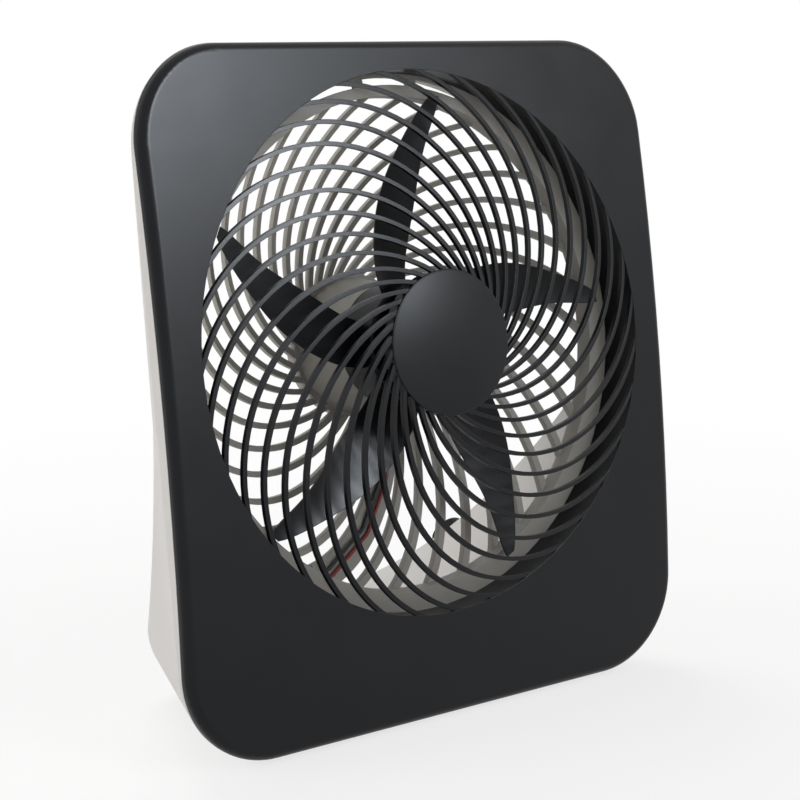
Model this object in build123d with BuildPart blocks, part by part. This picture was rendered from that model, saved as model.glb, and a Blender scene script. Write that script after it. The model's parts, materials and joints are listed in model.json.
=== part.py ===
from build123d import *
from math import asin, atan2, cos, degrees, pi, radians, sin, sqrt, tan
import os

os.makedirs("parts", exist_ok=True)

# Overall sizes, in millimetres
panel_width = 290.0
panel_height = 314.0
panel_corner = 45.5
body_depth = 112.0
foot_drop = 1.5

# Front face, an arc in the side view that stands upright just below the floor
face_radius = 1497.0
face_upright_height = -34.4
face_lead = 0.4
crown = 4.5
panel_lip = 1.5
sketch_margin = 40.0
panel_wall = 2.4
seam_gap = 0.3

# Fan axis and front opening
axis_below_top = 138.1
opening_radius = 127.0
shroud_wall = 2.5
shroud_depth = 17.8

# Front grille
rib_count = 35
rib_width = 2.0
rib_depth = 5.0
rib_arc_offset = 58.4
rib_arc_radius = 79.6
rib_phase = 114.0
rib_trim = 0.2
grille_rise = 15.9
crown_turn = 40.0
flush_drop = 0.3
hub_disc_radius = 33.9
hub_disc_wall = 2.4
hub_disc_skirt = 6.5
hub_disc_round = 0.5
hub_disc_proud = 0.6

# Rear housing
shell_wall = 2.2
tray_depth = 28.0
base_height = 32.0
waist_drop = 27.9
draft_low = 22.0
draft_high = 30.0
draft_top = 17.4
rear_corner = 32.0
duct_step = 1.0
duct_wall = 2.0

# Rear grille
slat_count = 34
slat_width = 2.8
slat_depth = 3.5
slat_arc_offset = 68.0
slat_arc_radius = 82.0
slat_phase = 198.2
dome_edge = 23.31871
dome_depth = 65.0
rim_gap = 5.0
rim_width = 4.5
rim_depth = 9.5
flange_thickness = 2.2
spoke_width = 12.0
slot_span = 12.0
slot_pitch = 14.4
slot_margin = 0.8
hub_ring_radius = 35.0
hub_ring_width = 3.0
cup_front_radius = 29.0
cup_wall = 2.0
cup_front_depth = 31.5
cup_plate = 2.2

# Motor, on the fan axis
can_radius = 18.0
can_length = 24.0
can_wall = 1.0
boss_radius = 6.5
boss_height = 1.8
shaft_radius = 1.5
bushing_radius = 4.0
running_fit = 0.03
press_clear = 0.02
magnet_thickness = 2.6
magnet_span = 130.0
magnet_length = 14.0
core_radius = 13.4
core_length = 9.0
pole_count = 3
pole_neck = 4.0
pole_root = 4.5
pole_shoe = 2.6
pole_span = 92.0
coil_width = 9.0
coil_overhang = 1.8
coil_clear = 0.3
commutator_radius = 3.6
commutator_length = 3.6
brush_width = 3.0
brush_length = 4.2
end_cap_thickness = 2.4
motor_screw_pitch = 25.0
motor_screw_radius = 1.5

# Impeller
blade_count = 5
blade_phase = 6.0
impeller_hub_radius = 30.0
impeller_hub_front = 6.0
impeller_hub_depth = 22.0
impeller_hub_wall = 2.2
impeller_boss_radius = 5.0
blade_thickness = 1.8
blade_sink = 2.5
blade_tip_gap = 9.0
clip_radius = 4.5
clip_thickness = 1.4
cover_thickness = 2.4

# Battery base
cell_radius = 17.1
cell_length = 61.5
cell_columns = 3
cell_clear = 0.3
cell_lift = 1.5
cradle_setback = 10.0
row_gap = 0.8
tray_wall = 1.6
tray_ceiling = 1.2
contact_space = 4.9
saddle_thickness = 2.0
saddle_rise = 4.0
saddle_crown = 0.4
leg_width = 12.0
post_x = 60.0
post_radius = 4.5
end_gap = 0.2
cell_nub_radius = 4.75
cell_nub_height = 1.5
contact_height = 12.0
contact_half = 9.0
contact_sheet = 0.7
contact_gap = 0.1
door_half_width = 56.0
door_front_y = -40.0
door_tongue = 2.5
door_clear = 0.3
grip_count = 5
grip_pitch = 3.2
grip_length = 40.0
grip_inset = 14.0
grip_depth = 0.6

# Controls on the sloped rear face
control_x = 80.0
control_rise = 20.0
knob_radius = 10.0
knob_height = 7.0
knob_taper = 4.0
knob_round = 1.2
pointer_length = 6.0
pointer_width = 1.6
knob_stem_radius = 3.0
jack_radius = 5.5
jack_flange_radius = 7.5
jack_bore = 2.9
jack_pin = 1.0
jack_depth = 13.0
jack_reach = 10.0
jack_flange = 1.2
knob_flutes = 10
knob_flute = 0.7
stem_reach = 6.0
switch_width = 16.0
switch_depth = 12.0
switch_corner = 2.0

# Rubber feet and screws
foot_radius = 5.0
foot_recess = 0.8
front_foot_x = 85.0
front_foot_y = -36.0
foot_gap = 2.0
rear_foot_y = 44.0
screw_radius = 1.5
screw_head_radius = 3.0
screw_head_height = 2.0
screw_grip = 9.0
screw_inset = 29.0
screw_drop = 29.5
screw_mate_y = -8.0
screw_boss_radius = 4.0
screw_tube_radius = 4.8
screw_floor = 3.0

# Hooks along the panel's foot, which lie over the housing floor
hook_x = 75.0
hook_width = 14.0
hook_reach = 7.0
hook_thickness = 2.0

# Motor leads
lead_radius = 0.9
lead_spacing = 3.0
lead_lift = 0.2
lead_slot = 12.0
cup_passage = 18.0
rim_passage = 34.0
passage_drop = 5.0
bend_share = 0.45
bend_limit = 14.0

# Places worked out from the sizes above
front_y = -body_depth / 2 - face_lead
rear_y = body_depth / 2
sketch_low = -sketch_margin
sketch_high = panel_height + sketch_margin
axis_height = foot_drop + panel_height - axis_below_top
waist_height = axis_height - waist_drop
duct_radius = opening_radius - duct_step
rim_radius = duct_radius - rim_gap
screw_x = panel_width / 2 - screw_inset
screw_z = foot_drop + panel_height - screw_drop
fan_tilt = asin((axis_height - face_upright_height) / face_radius)


def edge_y(height):
    # Front-to-back place of the panel's outline edge at a height
    return front_y + crown + face_radius - sqrt(face_radius**2 - (height - face_upright_height) ** 2)


def arc_drop(reach, radius):
    # How far an arc has fallen back at a distance from its top
    return radius - sqrt(radius**2 - reach**2)


def arc_radius_through(reach, drop):
    return (reach**2 + drop**2) / (2 * drop)


axis_y = edge_y(axis_height)
axis_dir = Vector(0, -cos(fan_tilt), sin(fan_tilt))
up_dir = Vector(0, sin(fan_tilt), cos(fan_tilt))
fan_origin = Vector(0, axis_y, axis_height)
fan_plane = Plane(origin=fan_origin, x_dir=(1, 0, 0), z_dir=axis_dir)
radial_plane = Plane(origin=fan_origin, x_dir=(1, 0, 0), z_dir=-up_dir)
fan_axis = Axis(fan_origin, axis_dir)


def tray_back_y(height, depth):
    # The upper rear wall lies parallel to the fan plane
    along = height - axis_height + depth * sin(fan_tilt)
    return axis_y + depth * cos(fan_tilt) + along * sin(fan_tilt) / cos(fan_tilt)


def face_arc(shift):
    middle = (sketch_low + sketch_high) / 2
    return ThreePointArc(
        (edge_y(sketch_low) + shift, sketch_low),
        (edge_y(middle) + shift, middle),
        (edge_y(sketch_high) + shift, sketch_high),
    )


def face_band(front_shift, back_shift):
    with BuildSketch(Plane.YZ) as band:
        with BuildLine():
            front = face_arc(front_shift)
            back = face_arc(back_shift)
            Line(front @ 0, back @ 0)
            Line(front @ 1, back @ 1)
        make_face()
    return band.sketch


def rounded_outline(plane, low_half, top_half, low, top, corner):
    with BuildSketch(plane) as outline:
        with BuildLine():
            Polyline(
                (-low_half, low), (low_half, low), (top_half, top), (-top_half, top), close=True
            )
        make_face()
        fillet(outline.vertices(), corner)
    return outline.sketch


def panel_outline(inset):
    return rounded_outline(
        Plane.XZ,
        panel_width / 2 - inset,
        panel_width / 2 - inset,
        foot_drop + inset,
        foot_drop + panel_height - inset,
        panel_corner - inset,
    )


def arc_strip(offset, radius, width, start, sweep):
    with BuildSketch(mode=Mode.PRIVATE) as strip:
        with BuildLine():
            outer = CenterArc((offset, 0), radius + width / 2, start, sweep)
            inner = CenterArc((offset, 0), radius - width / 2, start, sweep)
            Line(outer @ 0, inner @ 0)
            Line(outer @ 1, inner @ 1)
        make_face()
    return strip.sketch


def arc_angle_at(reach, offset, radius):
    # Angle on a strip's own circle where it crosses a distance from the fan axis
    ratio = (reach**2 - offset**2 - radius**2) / (2 * offset * radius)
    return degrees(pi / 2 - asin(ratio))


def keep(piece, name):
    piece.label = name
    export_step(piece, f"parts/{name}.step")


# Rear housing: a drafted tray above the waist that flares to a deep base
bottom_edge_y = edge_y(foot_drop)
lean = atan2(edge_y(foot_drop + panel_height) - bottom_edge_y, panel_height)
lean_dir = (0, -cos(lean), sin(lean))
front_section = Plane(origin=(0, bottom_edge_y, foot_drop), x_dir=(1, 0, 0), z_dir=lean_dir)
rear_section = Plane(origin=(0, bottom_edge_y + body_depth, foot_drop), x_dir=(1, 0, 0), z_dir=lean_dir)
lean_height = panel_height / cos(lean)


def drafted(half, angle):
    return half - body_depth * sin(radians(angle)) / cos(radians(angle))


# Slope of the flared rear face, front to back for each millimetre of height
heel_height = foot_drop + base_height
flare_slope = (tray_back_y(waist_height, tray_depth) - rear_y) / (waist_height - heel_height)
flare_stretch = sqrt(1 + flare_slope**2)


def flare_y(height, inset):
    return rear_y + flare_slope * (height - heel_height) - inset * flare_stretch


def rear_corners(inset):
    # Waist and heel of the side view, drawn in by a wall
    depth = tray_depth - inset
    rise = sin(fan_tilt) / cos(fan_tilt) - flare_slope
    waist = (flare_y(0, inset) - tray_back_y(0, depth)) / rise
    heel = heel_height + inset * (flare_stretch - 1) / flare_slope
    return (tray_back_y(waist, depth), waist), (rear_y - inset, heel)


def flared_body(inset, front_shift):
    half = panel_width / 2
    front_shape = rounded_outline(
        front_section, half - inset, half - inset, inset, lean_height - inset, panel_corner - inset
    )
    rear_shape = rounded_outline(
        rear_section,
        drafted(half, draft_low) - inset,
        drafted(half, draft_high) - inset,
        inset,
        drafted(lean_height, draft_top) - inset,
        rear_corner - inset,
    )
    waist, heel = rear_corners(inset)
    with BuildSketch(Plane.YZ) as side_shape:
        with BuildLine():
            front = face_arc(front_shift)
            Polyline(
                front @ 1,
                (tray_back_y(sketch_high, tray_depth - inset), sketch_high),
                waist,
                heel,
                (rear_y - inset, sketch_low),
                front @ 0,
            )
        make_face()
    with BuildPart() as body:
        loft([front_shape.face(), rear_shape.face()])
        extrude(front_shape, amount=crown * 3, dir=(0, -1, 0))
        extrude(side_shape.sketch, amount=panel_width, both=True, mode=Mode.INTERSECT)
    return body.part


housing_front = panel_lip + seam_gap
housing_outside = flared_body(0, housing_front)
housing_inside = flared_body(shell_wall, -body_depth / 4)
duct_front = -shroud_depth - 2 * seam_gap - flange_thickness
with BuildPart() as duct:
    with BuildSketch(fan_plane.offset(duct_front)):
        Circle(duct_radius + duct_wall)
        Circle(duct_radius - duct_wall, mode=Mode.SUBTRACT)
    extrude(amount=-2 * body_depth)
    add(housing_outside, mode=Mode.INTERSECT)

# Space behind the front grille's crowned surface
rim_height = crown - flush_drop
side_rim_height = rim_height - arc_drop(opening_radius, face_radius)
dome_arc = arc_radius_through(opening_radius, grille_rise - rim_height)
side_arc = arc_radius_through(opening_radius, grille_rise - side_rim_height)
grille_reach = opening_radius + shroud_wall / 2
crown_centre = fan_origin + axis_dir * (grille_rise - dome_arc)
crown_start = axis_dir * cos(radians(crown_turn / 2)) - Vector(1, 0, 0) * sin(radians(crown_turn / 2))
side_reach = opening_radius + 5 * shroud_wall
with BuildPart() as grille_space:
    with BuildSketch(Plane(origin=crown_centre, x_dir=up_dir, z_dir=up_dir.cross(crown_start))):
        with BuildLine():
            side_edge = dome_arc - arc_drop(side_reach, side_arc)
            back_edge = dome_arc - grille_rise - 2 * shroud_depth
            ThreePointArc((-side_reach, side_edge), (0, dome_arc), (side_reach, side_edge))
            Polyline(
                (side_reach, side_edge),
                (side_reach, back_edge),
                (-side_reach, back_edge),
                (-side_reach, side_edge),
            )
        make_face()
    revolve(axis=Axis(crown_centre, up_dir), revolution_arc=crown_turn)
    with BuildSketch(fan_plane.offset(-shroud_depth)):
        Circle(grille_reach)
    extrude(amount=shroud_depth + grille_rise + crown, mode=Mode.INTERSECT)

# Front ribs: spiral strips trimmed to the crowned band
rib_start = arc_angle_at(hub_disc_radius - hub_disc_wall / 2, rib_arc_offset, rib_arc_radius)
rib_end = arc_angle_at(grille_reach - rib_trim, rib_arc_offset, rib_arc_radius)
rib_strip = arc_strip(rib_arc_offset, rib_arc_radius, rib_width, -rib_start, rib_start - rib_end)
with BuildPart() as front_ribs:
    with BuildSketch(fan_plane.offset(-shroud_depth)):
        with PolarLocations(0, rib_count, rib_phase):
            add(rib_strip)
    extrude(amount=shroud_depth + grille_rise + crown)
    add(grille_space.part, mode=Mode.INTERSECT)
    add(grille_space.part.moved(Location(axis_dir * -rib_depth)), mode=Mode.SUBTRACT)

# Front panel with its shroud ring, grille and hub disc, one moulding
with BuildPart() as panel_pocket:
    extrude(panel_outline(panel_wall), amount=panel_width, both=True)
    pocket_band = face_band(panel_wall - crown, panel_lip + crown)
    extrude(pocket_band, amount=panel_width, both=True, mode=Mode.INTERSECT)

with BuildPart() as shroud:
    with BuildSketch(fan_plane.offset(-shroud_depth)):
        Circle(opening_radius + shroud_wall)
        Circle(opening_radius - shroud_wall, mode=Mode.SUBTRACT)
    extrude(amount=shroud_depth + grille_rise)
    shroud_band = face_band(panel_wall / 2 - crown, body_depth)
    extrude(shroud_band, amount=panel_width, both=True, mode=Mode.INTERSECT)

hub_edge = grille_rise - arc_drop(hub_disc_radius, dome_arc) + hub_disc_proud
with BuildPart() as hub_disc:
    with BuildSketch(fan_plane.offset(hub_edge - hub_disc_skirt)):
        Circle(hub_disc_radius)
    extrude(amount=hub_disc_skirt)
    fillet(hub_disc.edges().group_by(fan_axis)[-1], hub_disc_round)
    with BuildSketch(fan_plane.offset(hub_edge - hub_disc_wall)):
        Circle(hub_disc_radius - hub_disc_wall)
    extrude(amount=-hub_disc_skirt, mode=Mode.SUBTRACT)

with BuildPart() as front_panel:
    extrude(panel_outline(0), amount=panel_width, both=True)
    extrude(face_band(-crown, panel_lip), amount=panel_width, both=True, mode=Mode.INTERSECT)
    face_and_back = front_panel.faces().sort_by(SortBy.AREA)[-2:]
    fillet(face_and_back.sort_by(Axis.Y)[0].edges(), crown)
    add(panel_pocket.part, mode=Mode.SUBTRACT)
    add(shroud.part)
    with BuildSketch(fan_plane.offset(-shroud_depth)):
        Circle(opening_radius)
    extrude(amount=shroud_depth + grille_rise + crown, mode=Mode.SUBTRACT)
    add(front_ribs.part)
    add(hub_disc.part)
    for side in (-1, 1):
        with BuildSketch(Plane.XZ.offset(-screw_mate_y)):
            with Locations((side * screw_x, screw_z)):
                Circle(screw_boss_radius)
        extrude(amount=screw_mate_y - edge_y(screw_z) + crown - panel_wall / 2)
        with BuildSketch(Plane.XZ.offset(-screw_mate_y)):
            with Locations((side * screw_x, screw_z)):
                Circle(screw_radius + press_clear)
        extrude(amount=screw_grip + seam_gap, mode=Mode.SUBTRACT)
        with BuildSketch(Plane.XY.offset(foot_drop + panel_wall)):
            with Locations((side * hook_x, bottom_edge_y + (hook_reach - crown) / 2)):
                Rectangle(hook_width, hook_reach + crown - panel_wall)
        extrude(amount=hook_thickness)


def fan_point(across, up, along):
    # A point given across, up and forward of the fan plane
    return fan_origin + Vector(1, 0, 0) * across + up_dir * up + axis_dir * along


slat_reach = rim_radius - rim_width / 2
dome_radius = arc_radius_through(slat_reach, dome_depth - dome_edge)


def dome_depth_at(reach):
    return -dome_depth + arc_drop(reach, dome_radius)


def ring_on_axis(low, high, outer, inner):
    # A plain ring round the fan axis between two depths
    with BuildPart() as ring:
        with BuildSketch(fan_plane.offset(low)):
            Circle(outer)
            if inner:
                Circle(inner, mode=Mode.SUBTRACT)
        extrude(amount=high - low)
    return ring.part


# Rear grille: spiral slats on a dome, with the cup that carries the motor
flange_front = -shroud_depth - seam_gap
flange_back = flange_front - flange_thickness
slat_inner = hub_ring_radius - hub_ring_width / 2
slat_start = arc_angle_at(slat_inner, slat_arc_offset, slat_arc_radius)
slat_end = arc_angle_at(slat_reach, slat_arc_offset, slat_arc_radius)
slat_sweep = slat_start - slat_end
slat_strip = arc_strip(slat_arc_offset, slat_arc_radius, slat_width, slat_end, slat_sweep)
spoke_strip = arc_strip(slat_arc_offset, slat_arc_radius, spoke_width, slat_end, slat_sweep)
with BuildPart() as slats:
    with BuildSketch(fan_plane.offset(-dome_depth - slat_depth)):
        with PolarLocations(0, slat_count, slat_phase):
            add(slat_strip)
        with PolarLocations(0, 1, slat_phase):
            add(spoke_strip)
    extrude(amount=dome_depth)
    with BuildSketch(radial_plane):
        with BuildLine():
            slat_middle = (slat_inner + slat_reach) / 2
            for shift in (0, -slat_depth):
                ThreePointArc(
                    (slat_inner, dome_depth_at(slat_inner) + shift),
                    (slat_middle, dome_depth_at(slat_middle) + shift),
                    (slat_reach, dome_depth_at(slat_reach) + shift),
                )
            for reach in (slat_inner, slat_reach):
                edge_depth = dome_depth_at(reach)
                Line((reach, edge_depth), (reach, edge_depth - slat_depth))
        make_face()
    revolve(axis=fan_axis, mode=Mode.INTERSECT)

hub_front = dome_depth_at(hub_ring_radius) + seam_gap
hub_back = dome_depth_at(0) - slat_depth
cup_back_radius = hub_ring_radius - hub_ring_width
with BuildPart() as rear_grille:
    add(slats.part)
    add(ring_on_axis(flange_front - rim_depth, flange_front, rim_radius, rim_radius - rim_width))
    add(ring_on_axis(flange_back, flange_front, duct_radius + duct_wall, rim_radius - rim_width))
    add(ring_on_axis(hub_back, hub_front, hub_ring_radius, cup_back_radius))
    with BuildSketch(radial_plane):
        with BuildLine():
            Polyline(
                (boss_radius + seam_gap, -cup_front_depth),
                (cup_front_radius, -cup_front_depth),
                (cup_back_radius + cup_wall / 2, hub_front),
                (cup_back_radius + cup_wall / 2, hub_front - cup_wall),
                (cup_back_radius - cup_wall / 2, hub_front - cup_wall),
                (cup_front_radius - cup_wall, -cup_front_depth - cup_plate),
                (boss_radius + seam_gap, -cup_front_depth - cup_plate),
                close=True,
            )
        make_face()
    revolve(axis=fan_axis)
    with BuildSketch(fan_plane.offset(-cup_front_depth)):
        with PolarLocations(motor_screw_pitch / 2, 2, 90):
            Circle(motor_screw_radius + seam_gap)
    extrude(amount=-2 * cup_plate, mode=Mode.SUBTRACT)
    with BuildSketch(fan_plane.offset(flange_front)):
        for side in (-1, 0, 1):
            with BuildLine():
                slot_start = 90 + side * slot_pitch - slot_span / 2
                slot_low = rim_radius + slot_margin
                slot_high = duct_radius - slot_margin
                near = CenterArc((0, 0), slot_low, slot_start, slot_span)
                far = CenterArc((0, 0), slot_high, slot_start, slot_span)
                Line(near @ 0, far @ 0)
                Line(near @ 1, far @ 1)
            make_face()
    extrude(amount=-2 * flange_thickness, mode=Mode.SUBTRACT)

# Impeller with lofted blades
blade_sections = [
    # reach, turn, chord, pitch, place along the axis
    (27.5, 24.5, 24.0, 58.0, -17.0),
    (45.0, 19.5, 28.0, 53.0, -17.0),
    (60.0, 14.7, 28.0, 48.0, -16.5),
    (78.0, 10.0, 23.0, 41.0, -15.5),
    (95.0, 5.5, 16.0, 35.0, -14.5),
    (110.0, 1.8, 10.5, 30.0, -13.5),
    (118.0, 0.0, 5.0, 27.0, -13.0),
]
blade_camber = 0.08
hub_top = -impeller_hub_front
hub_bottom = hub_top - impeller_hub_depth
blade_root = impeller_hub_radius - blade_sink
blade_tip = opening_radius - blade_tip_gap


def blade_section(table_reach, turn, chord, pitch, along):
    share = (table_reach - blade_sections[0][0]) / (blade_sections[-1][0] - blade_sections[0][0])
    reach = blade_root + share * (blade_tip - blade_root)
    angle = radians(turn)
    outward = Vector(1, 0, 0) * cos(angle) + up_dir * sin(angle)
    around = up_dir * cos(angle) - Vector(1, 0, 0) * sin(angle)
    plane = Plane(origin=fan_origin + outward * reach + axis_dir * along, x_dir=around, z_dir=outward)
    half = chord / 2
    edge = blade_thickness / 4
    with BuildSketch(plane.rotated((0, 0, pitch))) as section:
        with BuildLine():
            sag = chord * blade_camber
            face = ThreePointArc((-half, edge), (0, blade_thickness / 2 - sag), (half, edge))
            back = ThreePointArc((-half, -edge), (0, -blade_thickness / 2 - sag), (half, -edge))
            Line(face @ 0, back @ 0)
            Line(face @ 1, back @ 1)
        make_face()
    return section.sketch.face()


blade = loft([blade_section(*section) for section in blade_sections], mode=Mode.PRIVATE)
with BuildPart() as impeller:
    with BuildSketch(fan_plane.offset(hub_bottom)):
        Circle(impeller_hub_radius)
    extrude(amount=impeller_hub_depth)
    fillet(impeller.edges().group_by(Axis(fan_origin, axis_dir))[-1], impeller_hub_wall)
    for number in range(blade_count):
        add(blade.rotate(fan_axis, blade_phase + number * 360 / blade_count))
    with BuildSketch(fan_plane.offset(hub_bottom - impeller_hub_wall)):
        Circle(impeller_hub_radius - impeller_hub_wall)
        Circle(impeller_boss_radius, mode=Mode.SUBTRACT)
    extrude(amount=impeller_hub_depth, mode=Mode.SUBTRACT)
    with BuildSketch(fan_plane):
        Circle(shaft_radius + press_clear)
    extrude(amount=-body_depth, mode=Mode.SUBTRACT)

# Motor, hung behind the cup's front plate
can_front = -cup_front_depth - cup_plate
can_back = can_front - can_length
can_inner = can_radius - can_wall
cap_front = can_back + end_cap_thickness
with BuildPart() as motor_can:
    add(ring_on_axis(can_back, can_front, can_radius, 0))
    add(ring_on_axis(can_back, can_front - can_wall, can_inner, 0), mode=Mode.SUBTRACT)
    add(ring_on_axis(can_front, can_front + boss_height, boss_radius, 0))
    with BuildSketch(fan_plane):
        Circle(bushing_radius + press_clear)
    extrude(amount=-dome_depth, mode=Mode.SUBTRACT)
    with BuildSketch(fan_plane.offset(can_front)):
        with PolarLocations(motor_screw_pitch / 2, 2, 90):
            Circle(motor_screw_radius + press_clear)
    extrude(amount=-2 * can_wall, mode=Mode.SUBTRACT)

with BuildPart() as motor_end_cap:
    add(ring_on_axis(can_back, cap_front, can_inner - press_clear, bushing_radius + press_clear))

bushing_bore = shaft_radius + running_fit
with BuildPart() as motor_bushings:
    add(ring_on_axis(can_front - boss_height, can_front + boss_height, bushing_radius, bushing_bore))
    add(ring_on_axis(can_back, cap_front, bushing_radius, bushing_bore))

core_middle = (can_front + cap_front) / 2 + coil_overhang
core_low = core_middle - core_length / 2
magnet_outer = can_inner - press_clear
with BuildPart() as motor_magnets:
    with BuildSketch(fan_plane.offset(core_middle - magnet_length / 2)):
        for start in (-magnet_span / 2, 180 - magnet_span / 2):
            with BuildLine():
                outer = CenterArc((0, 0), magnet_outer, start, magnet_span)
                inner = CenterArc((0, 0), magnet_outer - magnet_thickness, start, magnet_span)
                Line(outer @ 0, inner @ 0)
                Line(outer @ 1, inner @ 1)
            make_face()
    extrude(amount=magnet_length)

with BuildPart() as motor_shaft:
    add(ring_on_axis(can_back + boss_height / 2, hub_top + clip_thickness + shaft_radius, shaft_radius, 0))
    chamfer(motor_shaft.edges().filter_by(GeomType.CIRCLE), shaft_radius / 4)

shaft_bore = shaft_radius + press_clear
pole_tip = core_radius - pole_shoe
with BuildPart() as armature_core:
    with BuildSketch(fan_plane.offset(core_low)):
        Circle(pole_root)
        with PolarLocations((pole_root + pole_tip) / 2, pole_count):
            Rectangle(pole_tip - pole_root + pole_shoe, pole_neck)
        for number in range(pole_count):
            with BuildLine():
                start = number * 360 / pole_count - pole_span / 2
                outer = CenterArc((0, 0), core_radius, start, pole_span)
                inner = CenterArc((0, 0), pole_tip, start, pole_span)
                Line(outer @ 0, inner @ 0)
                Line(outer @ 1, inner @ 1)
            make_face()
        Circle(shaft_bore, mode=Mode.SUBTRACT)
    extrude(amount=core_length)

coil_near = pole_root + coil_clear
coil_far = sqrt((pole_tip - coil_clear) ** 2 - (coil_width / 2) ** 2)
with BuildPart() as armature_winding:
    with BuildSketch(fan_plane.offset(core_low - coil_overhang)):
        with PolarLocations((coil_near + coil_far) / 2, pole_count):
            RectangleRounded(coil_far - coil_near, coil_width, (coil_far - coil_near) / 4)
    extrude(amount=core_length + 2 * coil_overhang)
    with BuildSketch(fan_plane.offset(core_low - coil_clear)):
        with PolarLocations((pole_root + pole_tip) / 2, pole_count):
            Rectangle(core_radius, pole_neck + 2 * coil_clear)
    extrude(amount=core_length + 2 * coil_clear, mode=Mode.SUBTRACT)

with BuildPart() as commutator:
    commutator_low = cap_front + coil_clear
    add(ring_on_axis(commutator_low, commutator_low + commutator_length, commutator_radius, shaft_bore))

with BuildPart() as motor_brushes:
    with BuildSketch(fan_plane.offset(cap_front)):
        with PolarLocations(commutator_radius + running_fit + brush_length / 2, 2, 90):
            Rectangle(brush_length, brush_width)
    extrude(amount=commutator_length)

with BuildPart() as motor_screws:
    for side in (-1, 1):
        with BuildSketch(fan_plane.offset(can_front - 2 * can_wall)):
            with Locations((0, side * motor_screw_pitch / 2)):
                Circle(motor_screw_radius)
        extrude(amount=cup_plate + 2 * can_wall)
        with BuildSketch(fan_plane.offset(-cup_front_depth)):
            with Locations((0, side * motor_screw_pitch / 2)):
                Circle(2 * motor_screw_radius)
        extrude(amount=motor_screw_radius)

with BuildPart() as impeller_clip:
    add(ring_on_axis(hub_top, hub_top + clip_thickness, clip_radius, shaft_bore))

with BuildPart() as motor_cover:
    add(ring_on_axis(hub_back, hub_back + cover_thickness, cup_back_radius - seam_gap, 0))
    fillet(motor_cover.edges().group_by(fan_axis)[0], cover_thickness / 3)

# Battery base: snap-in cradle, cells, end contacts and sliding floor door
floor_top = foot_drop + shell_wall
cell_height = floor_top + cell_lift + cell_radius
cradle_front = front_y + cradle_setback
front_row_y = cradle_front + cell_radius + cell_clear
row_places = (front_row_y, front_row_y + 2 * cell_radius + row_gap)
cells_half = cell_columns * cell_length / 2
wall_inner = cells_half + contact_space
ceiling_low = cell_height + cell_radius + cell_clear + saddle_crown
ceiling_top = ceiling_low + tray_ceiling
cradle_back = row_places[1] + cell_radius + cell_clear
cradle_middle = (cradle_front + cradle_back) / 2
cradle_depth = cradle_back - cradle_front
with BuildPart() as battery_cradle:
    with BuildSketch(Plane.XY.offset(ceiling_low)):
        with Locations((0, cradle_middle + post_radius)):
            Rectangle(2 * (wall_inner + tray_wall), cradle_depth + 2 * post_radius)
    extrude(amount=tray_ceiling)
    with BuildSketch(Plane.XY.offset(cell_height - contact_height / 2)):
        with GridLocations(2 * wall_inner + tray_wall, 0, 2, 1):
            with Locations((0, cradle_middle)):
                Rectangle(tray_wall, cradle_depth)
    extrude(amount=ceiling_low - cell_height + contact_height / 2)
    with BuildSketch(Plane.XY.offset(cell_height + saddle_rise)):
        with GridLocations(cell_length / 2, 0, 2 * cell_columns, 1):
            with Locations((0, cradle_middle)):
                Rectangle(saddle_thickness, cradle_depth)
    extrude(amount=ceiling_low - cell_height - saddle_rise)
    with BuildSketch(Plane.YZ.offset(-wall_inner)):
        with Locations(*[(place, cell_height) for place in row_places]):
            Circle(cell_radius + cell_clear)
    extrude(amount=2 * wall_inner, mode=Mode.SUBTRACT)
    with BuildSketch(Plane.XY.offset(floor_top)):
        with Locations(*[(side * post_x, cradle_back + post_radius) for side in (-1, 1)]):
            Circle(post_radius)
        with GridLocations(2 * wall_inner + tray_wall, 0, 2, 1):
            with Locations((0, cradle_front + leg_width / 2)):
                Rectangle(tray_wall, leg_width)
    extrude(amount=ceiling_top - floor_top)
    with BuildSketch(fan_plane.offset(-shroud_depth)):
        Circle(duct_radius + duct_wall + cell_clear)
    extrude(amount=-2 * body_depth, mode=Mode.SUBTRACT)
    add(housing_inside, mode=Mode.INTERSECT)

cells = []
for row, place in enumerate(row_places):
    for column in range(cell_columns):
        left = (column - cell_columns / 2) * cell_length + end_gap
        turned = 1 if row == 0 else -1
        with BuildPart() as cell:
            with BuildSketch(Plane.YZ.offset(left)):
                with Locations((place, cell_height)):
                    Circle(cell_radius)
            extrude(amount=cell_length - 2 * end_gap - cell_nub_height)
            with BuildSketch(Plane.YZ.offset(left + cell_length - 2 * end_gap - cell_nub_height)):
                with Locations((place, cell_height)):
                    Circle(cell_nub_radius)
            extrude(amount=cell_nub_height)
        solid = cell.part if turned > 0 else cell.part.mirror(Plane.YZ)
        cells.append(solid)

with BuildPart() as battery_contacts:
    with BuildSketch(Plane.XY.offset(cell_height - contact_height / 2)):
        for place in row_places:
            for side in (-1, 1):
                wall = side * wall_inner
                tip = side * (cells_half + contact_gap)
                with BuildLine():
                    Polyline(
                        (wall, place - contact_half),
                        (tip, place),
                        (wall, place + contact_half),
                        (wall, place + contact_half - contact_sheet),
                        (tip + side * contact_sheet, place),
                        (wall, place - contact_half + contact_sheet),
                        close=True,
                    )
                make_face()
    extrude(amount=contact_height)

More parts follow.
